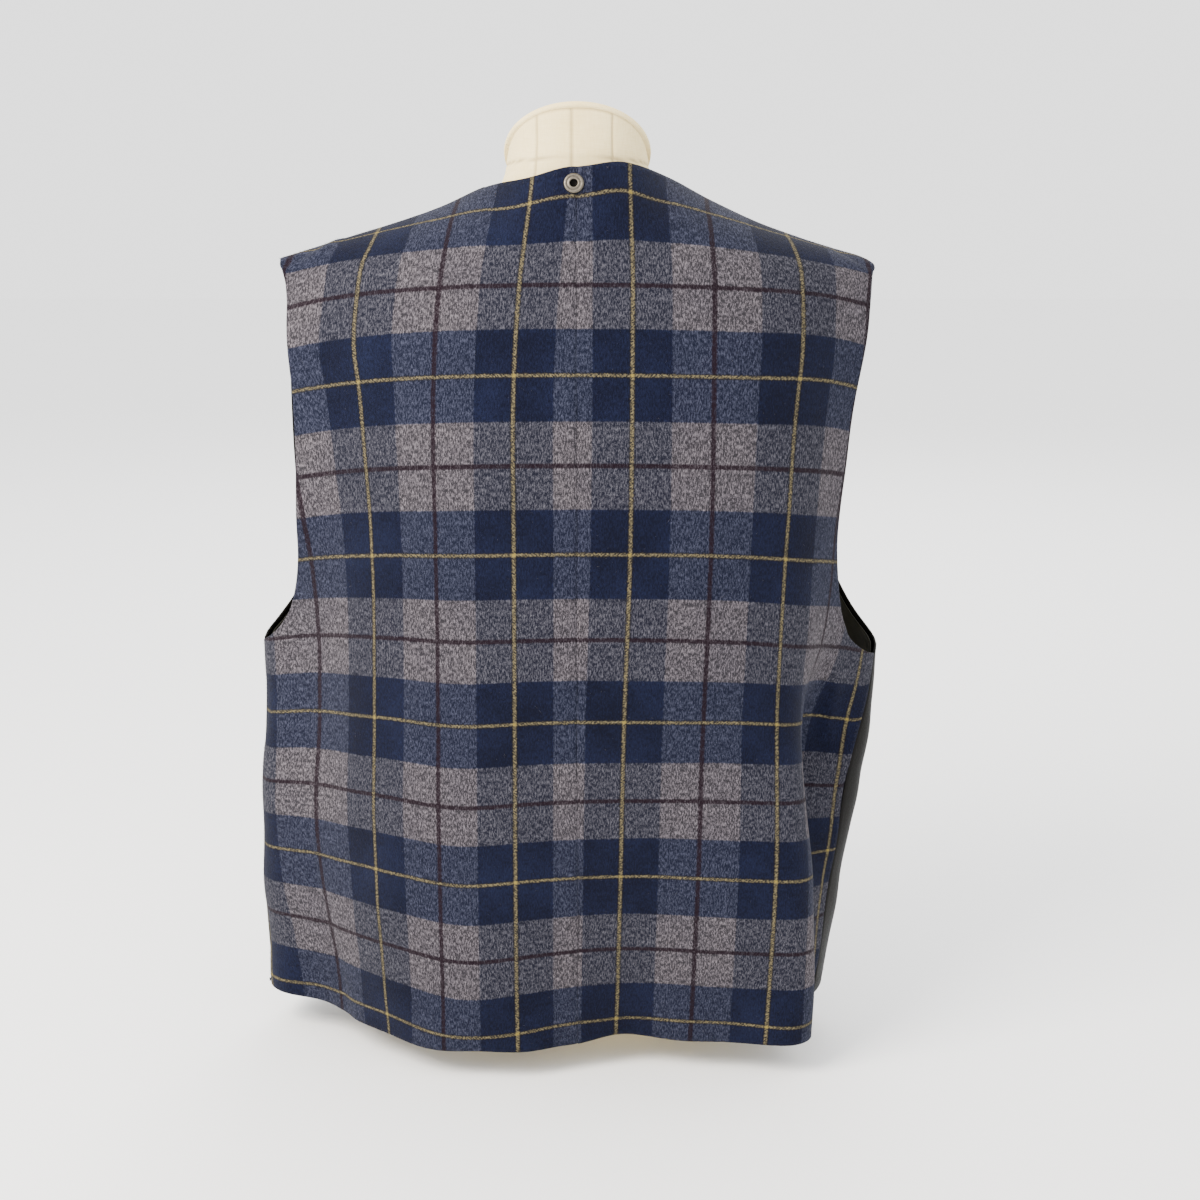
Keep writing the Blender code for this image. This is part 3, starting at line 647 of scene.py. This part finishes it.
def fibreMesh(name, start, heading, bend, lengths, radius):
    # each fibre: three-sided tube along start + heading * s + bend * s^2, closed to a point at both ends
    rings = nap["rings"]
    share = np.linspace(0.0, 1.0, rings)[None, :, None]
    path = start[:, None] + (heading[:, None] * share + bend[:, None] * share ** 2) * lengths[:, None, None]
    aside = unit(np.cross(heading, np.roll(heading, 1, axis=1) + 0.31))
    above = unit(np.cross(heading, aside))
    turns = np.arange(3) * 2 * math.pi / 3
    aside, above = aside[:, None, None], above[:, None, None]
    spoke = aside * np.cos(turns)[:, None] + above * np.sin(turns)[:, None]
    taper = np.sqrt(np.clip(1.0 - (2.0 * share - 1.0) ** 4, 0.02, 1.0))[..., None]
    places = path[:, :, None] + spoke * radius * taper
    fibre, ring, spot = np.meshgrid(np.arange(len(start)), np.arange(rings - 1), np.arange(3), indexing="ij")
    base = (fibre * rings + ring) * 3
    follow = (spot + 1) % 3
    sides = np.stack([base + spot, base + follow, base + 3 + follow, base + 3 + spot], -1)
    first = np.arange(len(start)) * rings * 3
    last = first + (rings - 1) * 3
    foot, tip = np.stack([first + 2, first + 1, first], -1), np.stack([last, last + 1, last + 2], -1)
    groups = [sides.reshape(-1, 4), np.concatenate([foot, tip])]
    return mixedObject(name, (places.reshape(-1, 3) + moved) * mm, groups)


def napMaterial(name):  # dark to light fibres by noise
    material, start, shader = newMaterial(name, {"Roughness": 0.9, "Specular IOR Level": 0.1})
    at = objectPlace(start)
    tone = noise(start, at, 1.0, 0.5, 260.0)
    join(start.mixed(tone.between(0.42, 0.6), srgb(20, 22, 34), srgb(84, 82, 88)), shader, "Base Color")
    return material


def makeNap(name, points, outward):  # short wool nap and a few long lint hairs
    rows, columns = points.shape[:2]
    count = nap["short"] + nap["lint"]
    row, column = chance.integers(3, rows - 3, count), chance.integers(2, columns - 2, count)
    short = np.arange(count) < nap["short"]
    edge = np.arange(count) < nap["short"] // 2  # half of the nap sits along the edges
    atEnds = chance.random(edge.sum()) < nap["ends"]
    row[edge] = np.where(atEnds, chance.choice([1, rows - 2], edge.sum()), row[edge])
    column[edge] = np.where(row[edge] > 2, columns - 2, column[edge])
    normal = outward[row, column]
    loose = chance.normal(size=(count, 3))
    flat = unit(loose - normal * np.sum(loose * normal, 1, keepdims=True))
    lean = np.where(short, nap["lean"], nap["lintLean"])[:, None]
    up = lean * np.where(short, chance.random(count), 1.0)[:, None]
    direction = unit(flat * (1.0 - lean) + normal * up)
    bend = unit(chance.normal(size=(count, 3))) * nap["bend"] - normal * nap["droop"]
    shortLengths = chance.uniform(*nap["shortLength"], count)
    lengths = np.where(short, shortLengths, chance.uniform(*nap["lintLength"], count))
    start = points[row, column] + normal * nap["above"]
    return fibreMesh(name, start, direction, bend, lengths, nap["radius"])


def surfaceArea(piece):  # half of the shell's area, for the flat cut
    return sum(face.area for face in piece.data.polygons) / 2


wool = woolMaterial("plaid wool")
napWool = napMaterial("wool nap")
backs, naps = {}, {}
for side, name, node in ((left, "backPanelLeft", "back_left"), (right, "backPanelRight", "back_right")):
    piece, points, outward = makeBack(side, name, wool)
    backs[side] = piece
    naps[side] = makeNap(name.replace("backPanel", "woolNap"), points, outward)
    naps[side].data.materials.append(napWool)
    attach(naps[side], "root")
    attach(piece, "root")
    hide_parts(node)
    print(name, "flat area", round(surfaceArea(piece), 4))
print("back panels made")


# leather fronts and their linings

frontPanel = {
    "rows": 200, "columns": 74, "wall": 1.6,
    "cloudWave": 0.9, "seamStill": 24.0,  # the first 24 mm from seam and shoulder lie still
    "edgeWave": 1.2, "edgeShare": 8.0, "edgeRepeat": 46.0, "shoulderGap": 1.0,
    "creases": {
        left: (((330, 380), (430, 420), 16.0, 1.8), ((340, 520), (380, 680), 22.0, 2.2),
               ((450, 430), (500, 560), 20.0, -1.6), ((400, 470), (330, 540), 14.0, 1.2)),
        right: (((330, 400), (420, 430), 16.0, 1.8), ((330, 480), (345, 660), 16.0, 1.8),
                ((430, 460), (470, 620), 22.0, -1.8), ((400, 420), (330, 470), 14.0, 1.2)),
    },
    "lining": {"wall": 0.9, "behind": 2.3, "inset": 0.022, "slack": 2.0, "slackReach": 110.0},
}


def frontRows(side, across):  # level rows, eased onto the shoulder and the hem line
    levels = np.linspace(0.0, vest["length"], frontPanel["rows"])[:, None]
    neck, tip = vest["top"]["girth"][2], vest["top"]["frontTip"][side]
    top = topValue(tip + (neck - tip) * across[0], "down")
    high = np.clip((vest["chestDown"] - levels) / vest["chestDown"], 0.0, 1.0)
    down = levels + high * (top + frontPanel["shoulderGap"])
    girth = seamGirth(side, vest["length"]) + vest["frontGirth"] * across
    return levels, down + hemDrop(side, girth, levels)


def frontSurface(side, across, behind=0.0, slack=0.0):
    # the front surface plus clouds and an edge wave, less the creases, the depth behind and the slack
    levels, down = frontRows(side, across)
    points = frontPoint(side, across, down)
    outward = gridNormals(points) * side
    girth = frontGirth(side, across, down)
    lift = frontPanel["cloudWave"] * unevenCloth(girth, down, seeds["front"] + side)
    lift = lift - creaseDepth(frontPanel["creases"][side], girth, down)
    edge = edgeGirth(side, "front", np.maximum(down, vest["topRow"]))
    fromSeam = np.minimum((girth - edge) / frontPanel["seamStill"], 1.0)
    fromTop = np.minimum(levels / frontPanel["seamStill"], 1.0)
    lift = lift * smoothStep(fromSeam) * smoothStep(fromTop)
    wave = bell((1.0 - across) * frontPanel["edgeShare"]) * np.sin(down / frontPanel["edgeRepeat"] + 2 * side)
    lift = lift + frontPanel["edgeWave"] * wave * fromTop
    underarm = vest["armhole"]["down"][-1]
    near = np.clip(1.0 - np.abs(down - underarm) / frontPanel["lining"]["slackReach"], 0.0, 1.0)
    lift = lift - behind - slack * near * np.clip(1.0 - 2.0 * across, 0.0, 1.0)
    return points + outward * lift[..., None]


def leatherMaterial(name):  # near black, its sheen uneven, cells and pores as bump
    material, start, shader = newMaterial(name, {"Specular IOR Level": 0.2, "IOR": 1.3})
    at = objectPlace(start)
    grain = start.node("ShaderNodeTexVoronoi", {"feature": "DISTANCE_TO_EDGE"},
                       {"Vector": at, "Scale": 620.0})
    soft = noise(start, at, 3.0, 0.6, 14.0)
    fine = noise(start, at, 2.0, 0.6, 900.0)
    colour = start.mixed(soft.between(0.3, 0.75), srgb(5, 5, 5), srgb(13, 11, 10))
    join(colour, shader, "Base Color")
    join(0.40 + soft * 0.18 + fine * 0.08, shader, "Roughness")
    join(bump(start, grain.between(0.0, 0.25) * 0.7 + fine * 0.5, 0.0003, 0.5), shader, "Normal")
    return material


def liningMaterial(name):  # olive black by slow noise and upright threads
    material, start, shader = newMaterial(name, {"Sheen Weight": 0.03, "Specular IOR Level": 0.15})
    at = objectPlace(start)
    soft = noise(start, at, 3.0, 0.6, 20.0)
    thread = noise(start, stretched(start, at, 1.0, 1.0, 0.25), 2.0, 0.6, 1500.0)
    join(start.mixed(soft * 0.6 + thread * 0.4, srgb(13, 14, 10), srgb(30, 30, 23)), shader, "Base Color")
    join(0.42 + thread * 0.2, shader, "Roughness")
    join(bump(start, thread, 0.0002, 0.5), shader, "Normal")
    return material


stitch = {"length": 2.5, "radius": 0.32, "sink": 0.05, "edgeColumns": 2, "hemRow": 3, "armholeRows": 96}


def threadMaterial(name):  # dark to light thread by noise
    material, start, shader = newMaterial(name, {"Roughness": 0.6, "Specular IOR Level": 0.3})
    at = objectPlace(start)
    tone = noise(start, at, 2.0, 0.6, 1800.0)
    join(start.mixed(tone.between(0.35, 0.65), srgb(26, 23, 22), srgb(58, 53, 50)), shader, "Base Color")
    return material


def makeStitches(side, name, points, material):
    # one stitch per grid cell along the front edge, the hem and the armhole, on the leather's face
    outward = gridNormals(points) * side
    rows, columns = points.shape[:2]
    edge = (np.arange(1, rows - stitch["hemRow"]), columns - 1 - stitch["edgeColumns"])
    hem = (rows - 1 - stitch["hemRow"], np.arange(2, columns - stitch["edgeColumns"]))
    hole = (np.arange(1, stitch["armholeRows"]), stitch["edgeColumns"])
    runs = []
    for row, column, stepRow, stepColumn in ((*edge, 1, 0), (*hem, 0, -1), (*hole, 1, 0)):
        row, column = np.broadcast_arrays(row, column)
        runs.append((points[row, column] + outward[row, column] * stitch["sink"],
                     unit(points[row + stepRow, column + stepColumn] - points[row, column])))
    start, heading = [np.concatenate(part) for part in zip(*runs)]
    lengths = np.full(len(start), stitch["length"])
    piece = fibreMesh(name, start, heading, np.zeros_like(heading), lengths, stitch["radius"])
    piece.data.materials.append(material)
    return piece


leather = leatherMaterial("black leather")
thread = threadMaterial("dark thread")
liningCloth = liningMaterial("olive lining")
fronts, linings, stitches = {}, {}, {}
for side, word in ((left, "left"), (right, "right")):
    across = np.linspace(0.0, 1.0, frontPanel["columns"])[None, :]
    points = frontSurface(side, across)
    fronts[side] = clothPiece("front" + word.capitalize(), side, points, frontPanel["wall"], leather)
    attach(fronts[side], "root")
    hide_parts("front_" + word)
    stitches[side] = makeStitches(side, "stitches" + word.capitalize(), points, thread)
    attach(stitches[side], "root")
    sizes = frontPanel["lining"]
    inset = sizes["inset"]
    across = np.linspace(inset, 1.0 - inset, frontPanel["columns"] - 4)[None, :]
    points = frontSurface(side, across, sizes["behind"], sizes["slack"])
    linings[side] = clothPiece("lining" + word.capitalize(), side, points[4:-4], sizes["wall"], liningCloth)
    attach(linings[side], "root")
    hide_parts("lining_front_" + word)
    print("front", word, "areas", round(surfaceArea(fronts[side]), 4), round(surfaceArea(linings[side]), 4))
print("fronts made")


# dress form

form = {
    "height": (60, 0, -10, -23.5, -35.5, -51.3, -68, -84, -110, -150, -215, -290, -350, -430, -500, -600,
               -660, -712),
    "half": (54, 54, 56, 66, 92, 132, 158, 172, 182, 179, 173, 163, 150, 128, 132, 150, 152, 150),
    "back": (-51, -50, -51, -52, -54, -60.5, -65, -73, -86, -98, -110, -111.3, -102, -86, -78, -50, -18, 12),
    "front": (53, 54, 54, 53, 52, 52, 55, 64, 79, 95, 108, 114, 112, 98, 102, 110, 114, 116),
    "squareness": 2.2, "around": 320, "inset": 0.35,
    "neckRows": 25, "bodyRows": 226, "neckFoot": -24.0, "neckLeast": 6.0,
    "capTilt": 34.0, "capHeight": 6.0,  # the neck's sloping cut: degrees, height at the middle
    "seams": (-93.0, 0.0, 180.0, 90.0, -62.0, -122.0, 58.0, 122.0),  # degrees round, -90 is the centre back
    "seamDepth": 0.8, "seamWidth": 1.1, "seamRadius": 60.0, "rimGroove": 1.3,
    "levelSeam": 2.0, "levelSlope": 0.12,  # the seam round the neck, below its foot's middle
}


def formSection(height, angle):  # a squared ellipse at each height
    knots = form["height"][::-1]
    half, back, front = [smoothTable(height, knots, form[name][::-1]) for name in ("half", "back", "front")]
    power = 2.0 / form["squareness"]
    out = half * np.sign(np.cos(angle)) * np.abs(np.cos(angle)) ** power
    ahead = np.sign(np.sin(angle)) * np.abs(np.sin(angle)) ** power
    return np.stack([out, (front + back) / 2 + (front - back) / 2 * ahead, height + 0 * angle], -1)


def makeForm():
    # rings from the sloping neck cut down to the floor; the seams are narrow pinched lines, and the pinch
    # also darkens the linen, partly the seam line and partly painted shade
    count, tilt = form["around"], math.radians(form["capTilt"])
    angle = np.linspace(0.0, 2 * math.pi, count, endpoint=False)[None, :]
    neck = formSection(np.full((1, 1), 0.0), angle)
    cut = form["capHeight"] - neck[..., 1] * math.tan(tilt)
    low = np.minimum(form["neckFoot"], cut - form["neckLeast"])
    upper = cut + (low - cut) * np.linspace(0.0, 1.0, form["neckRows"])[:, None]
    lower = low + (form["height"][-1] - low) * np.linspace(0.0, 1.0, form["bodyRows"])[1:, None]
    height = np.concatenate([upper, lower])
    points = formSection(height, angle)
    middle = points.mean(1, keepdims=True)
    outward = unit((points - middle) * np.array([1.0, 1.0, 0.0]))
    pinch = np.zeros(height.shape)
    for seam in form["seams"]:
        gap = (np.degrees(angle) - seam + 180.0) % 360.0 - 180.0
        pinch = pinch + bell(np.radians(gap) * form["seamRadius"] / form["seamWidth"])
    pinch = pinch + bell(height + form["levelSeam"] + points[..., 1] * form["levelSlope"])
    # the groove under the cap's rim; its darkening in the linen is a painted shadow
    pinch = pinch + bell((cut - height) / form["rimGroove"])
    points = points - outward * (form["inset"] + form["seamDepth"] * np.minimum(pinch, 1.0))[..., None]
    rows = len(points)
    centreTop, centreBase = points[0].mean(0), points[-1].mean(0)
    places = np.concatenate([points.reshape(-1, 3), [centreTop, centreBase]])
    ring = np.arange(count)
    follow, base, end = (ring + 1) % count, (rows - 1) * count, np.full(count, rows * count)
    topFan = np.stack([ring, follow, end], -1)
    baseFan = np.stack([base + follow, base + ring, end + 1], -1)
    groups = [ringFaces(rows, count), topFan, baseFan]
    item = mixedObject("formTorso", (places + moved) * mm, groups)
    # the pinch is stored as "seam", and the linen darkens by it: partly the seam line, partly painted shade
    # in the pinches and a painted shadow under the cap
    pointValues(item, "seam", np.concatenate([np.minimum(pinch, 1.0).ravel(), [0.0, 0.0]]))
    return item


def linenMaterial(name):  # warp and weft streaks over slow noise; darker at the seams, partly the seam line and partly painted shade in the pinches and under the cap's rim
    material, start, shader = newMaterial(name, {"Sheen Weight": 0.1, "Specular IOR Level": 0.25})
    at = objectPlace(start)
    warp = noise(start, stretched(start, at, 1.0, 1.0, 0.08), 2.0, 0.6, 1400.0)
    weft = noise(start, stretched(start, at, 0.08, 0.08, 1.0), 2.0, 0.6, 1400.0)
    soft = noise(start, at, 3.0, 0.6, 22.0)
    tone = (warp * 0.5 + weft * 0.5) * 0.6 + soft * 0.4
    # painted shade: the seam value darkens the pinched seams, partly their own line, and the groove under the
    # cap
    seam = pointWire(start, "seam")
    colour = start.mixed(tone.between(0.3, 0.7), srgb(226, 202, 142), srgb(249, 231, 180))
    join(start.mixed(seam * 0.55, colour, srgb(120, 96, 62)), shader, "Base Color")
    join(0.85 + warp * 0.1, shader, "Roughness")
    join(bump(start, warp + weft, 0.0003, 0.35), shader, "Normal")
    return material


linen = linenMaterial("cream linen")
torso = makeForm()
torso.data.materials.append(linen)
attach(torso, "root")
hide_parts("form_torso")
print("form made")


def turnedPoints(profile, steps, stretch=1.0):
    # a profile of (radius, height) turned about the z axis, then y times the stretch; and its faces
    profile = np.asarray(profile, float)
    angle = np.linspace(0.0, 2 * math.pi, steps, endpoint=False)[None, :]
    radius, height = profile[:, :1], profile[:, 1:]
    points = np.stack([radius * np.cos(angle), radius * np.sin(angle) * stretch, height + 0 * angle], -1)
    return points.reshape(-1, 3), ringFaces(len(profile), steps)


cap = {
    "overhang": 1.0, "steps": 160, "above": 0.1,
    "profile": ((0.02, 4.0), (50.0, 4.2), (53.5, 4.3), (54.6, 4.6), (55.3, 4.2),
                (55.6, 3.2), (55.4, 1.6), (54.9, 0.3), (0.02, 0.0)),
}


def makeCap():
    # an oval pad with a piped edge, lying on the neck's sloping cut
    tilt = math.radians(form["capTilt"])
    centre = (form["back"][1] + form["front"][1]) / 2
    halfFront = (form["front"][1] - form["back"][1]) / 2 + cap["overhang"]
    stretch = halfFront / math.cos(tilt) / (form["half"][1] + cap["overhang"])
    points, faces = turnedPoints(cap["profile"], cap["steps"], stretch)
    ahead = points[:, 1] * math.cos(tilt) + points[:, 2] * math.sin(tilt)
    up = -points[:, 1] * math.sin(tilt) + points[:, 2] * math.cos(tilt)
    start = form["capHeight"] - centre * math.tan(tilt)
    places = np.stack([points[:, 0], centre + ahead, start + up + cap["above"]], -1)
    return meshObject("formNeckCap", (places + moved) * mm, faces)


capPiece = makeCap()
capPiece.data.materials.append(linen)
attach(capPiece, "root")
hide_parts("form_neck_cap")


# press stud

stud = {
    "down": 15.0, "aside": -2.0, "lift": 0.1, "steps": 72, "reach": 4.0, "groove": 5.0,
    "profile": ((0.02, 0.9), (1.6, 0.9), (2.5, 1.1), (2.75, 1.9), (3.0, 2.45), (3.5, 2.7),
                (4.1, 2.55), (4.6, 2.3), (5.3, 2.35), (6.0, 2.6), (6.7, 2.5), (7.3, 2.0),
                (7.6, 1.3), (7.5, 0.7), (7.1, 0.25), (0.02, 0.2)),
}


def makeStud():  # turned about the cloth's outward direction at its seat
    points, faces = turnedPoints(stud["profile"], stud["steps"])
    seat, above, below = [backPoint(right, 0.0, stud["down"] + step * stud["reach"]) for step in (0, -1, 1)]
    upward = unit(above - below)
    sideways = np.array([1.0, 0.0, 0.0])
    outward = np.cross(sideways, upward)
    centre = seat + outward * stud["lift"] + sideways * stud["aside"]
    places = centre + points[:, :1] * sideways + points[:, 1:2] * upward + points[:, 2:] * outward
    piece = meshObject("pressStud", (places + moved) * mm, faces[:, ::-1])
    pointValues(piece, "radius", np.hypot(points[:, 0], points[:, 1]))
    return piece


def nickelMaterial(name):  # dark hole, rim and groove by radius, tarnish by noise
    material, start, shader = newMaterial(name, {"Metallic": 1.0})
    radius = pointWire(start, "radius")
    at = objectPlace(start)
    tarnish = noise(start, at, 3.0, 0.6, 700.0)
    dark = (1.0 - radius.between(2.6, 3.2)) + radius.between(7.0, 7.6) * 0.7
    groove = start.maths("ABSOLUTE", radius - stud["groove"]).under(0.6, 0.5)
    # darker in the hole, at the rim and in the groove, by radius, plus tarnish by noise
    darkerByRadiusAndTarnish = (dark + groove * 0.35 + tarnish.between(0.45, 0.8) * 0.4).clamped()
    join(start.mixed(darkerByRadiusAndTarnish, srgb(104, 98, 88), srgb(13, 12, 11)), shader, "Base Color")
    join(0.34 + tarnish * 0.2, shader, "Roughness")
    join(bump(start, tarnish, 0.00015, 0.6), shader, "Normal")
    return material


studPiece = makeStud()
studPiece.data.materials.append(nickelMaterial("old nickel"))
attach(studPiece, "root")
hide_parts("press_stud")
print("press stud made")


# room, light, camera

studio = {
    "floorHalf": 9.0, "floorTone": 0.96, "worldStrength": 2.2,
    "lights": {  # place, aim, size, power, colour
        "key": ((-1.1, -1.1, 1.75), (0.0, 0.0, 0.62), 1.0, 92.0, (1.0, 0.94, 0.86)),
        "low fill": ((-0.4, -2.4, 0.25), (0.0, 0.0, 0.2), 1.4, 3.0, (0.80, 0.88, 1.0)),
        "behind": ((0.3, 2.4, 2.2), (0.0, 0.0, 0.4), 1.6, 50.0, (1.0, 1.0, 1.0)),
    },
    "lens": 58.11, "sensor": 36.0, "aimDown": 12.7,
    "cameraAside": 0.017, "cameraBehind": -1.50, "cameraHeight": 0.712,
}


def makeRoom():  # a pale floor under an even sky
    mesh = bpy.data.meshes.new("floor")
    half, tone = studio["floorHalf"], studio["floorTone"]
    corners = [(-half, -half, 0.0), (half, -half, 0.0), (half, half, 0.0), (-half, half, 0.0)]
    mesh.from_pydata(corners, [], [(0, 1, 2, 3)])
    floor = bpy.data.objects.new("floor", mesh)
    bpy.context.scene.collection.objects.link(floor)
    material = newMaterial("pale floor", {"Base Color": (tone, tone, tone, 1.0), "Roughness": 0.9})[0]
    mesh.materials.append(material)
    world = bpy.data.worlds.new("studio")
    bpy.context.scene.world = world
    world.use_nodes = True
    background = world.node_tree.nodes["Background"]
    background.inputs["Color"].default_value = (1.0, 1.0, 1.0, 1.0)
    background.inputs["Strength"].default_value = studio["worldStrength"]


def addLight(name, place, aim, size, power, colour):  # a square lamp turned towards its aim
    lamp = bpy.data.lights.new(name, "AREA")
    lamp.size, lamp.energy, lamp.color = size, power, colour
    item = bpy.data.objects.new(name, lamp)
    item.location = place
    item.rotation_euler = (Vector(aim) - Vector(place)).to_track_quat("-Z", "Y").to_euler()
    bpy.context.scene.collection.objects.link(item)


def addCamera():  # behind the vest, level with the neck, aimed down
    lens = bpy.data.cameras.new("photo camera")
    lens.lens, lens.sensor_width = studio["lens"], studio["sensor"]
    item = bpy.data.objects.new("photo camera", lens)
    item.location = (studio["cameraAside"] + moved[0] * mm, studio["cameraBehind"] + moved[1] * mm,
                     studio["cameraHeight"])
    item.rotation_euler = (math.radians(90.0 - studio["aimDown"]), 0.0, 0.0)
    bpy.context.scene.collection.objects.link(item)
    bpy.context.scene.camera = item


makeRoom()
for name, settings in studio["lights"].items():
    addLight(name, *settings)
addCamera()
print("room, light and camera made")
